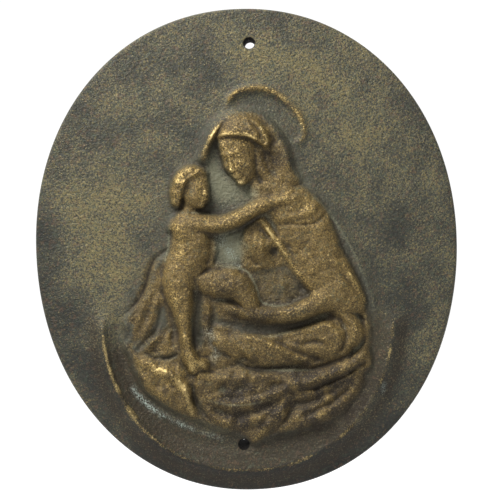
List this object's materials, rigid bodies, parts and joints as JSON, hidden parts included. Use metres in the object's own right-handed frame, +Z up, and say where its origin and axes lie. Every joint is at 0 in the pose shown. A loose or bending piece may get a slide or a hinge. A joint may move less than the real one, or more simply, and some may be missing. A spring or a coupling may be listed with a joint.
{
  "type": "relief plaque",
  "caption": "Oval cast bronze wall plaque with a seated mother and child in low relief, a ring halo, a raised crescent rim, and fixing holes at top and bottom.",
  "frame": {"origin": "middle of the flat back face, which lies against the wall", "axes": "+Z up the wall, +X to the right as the front is seen, +Y into the wall; the relief faces -Y"},
  "size_m": [0.1531, 0.0117, 0.1748],
  "materials": {
    "bronze": "aged sand-cast bronze, dark brown-olive patina with golden worn high points and a little green"
  },
  "bodies": {
    "root": {"relief_plaque": "bronze"}
  },
  "joints": []
}
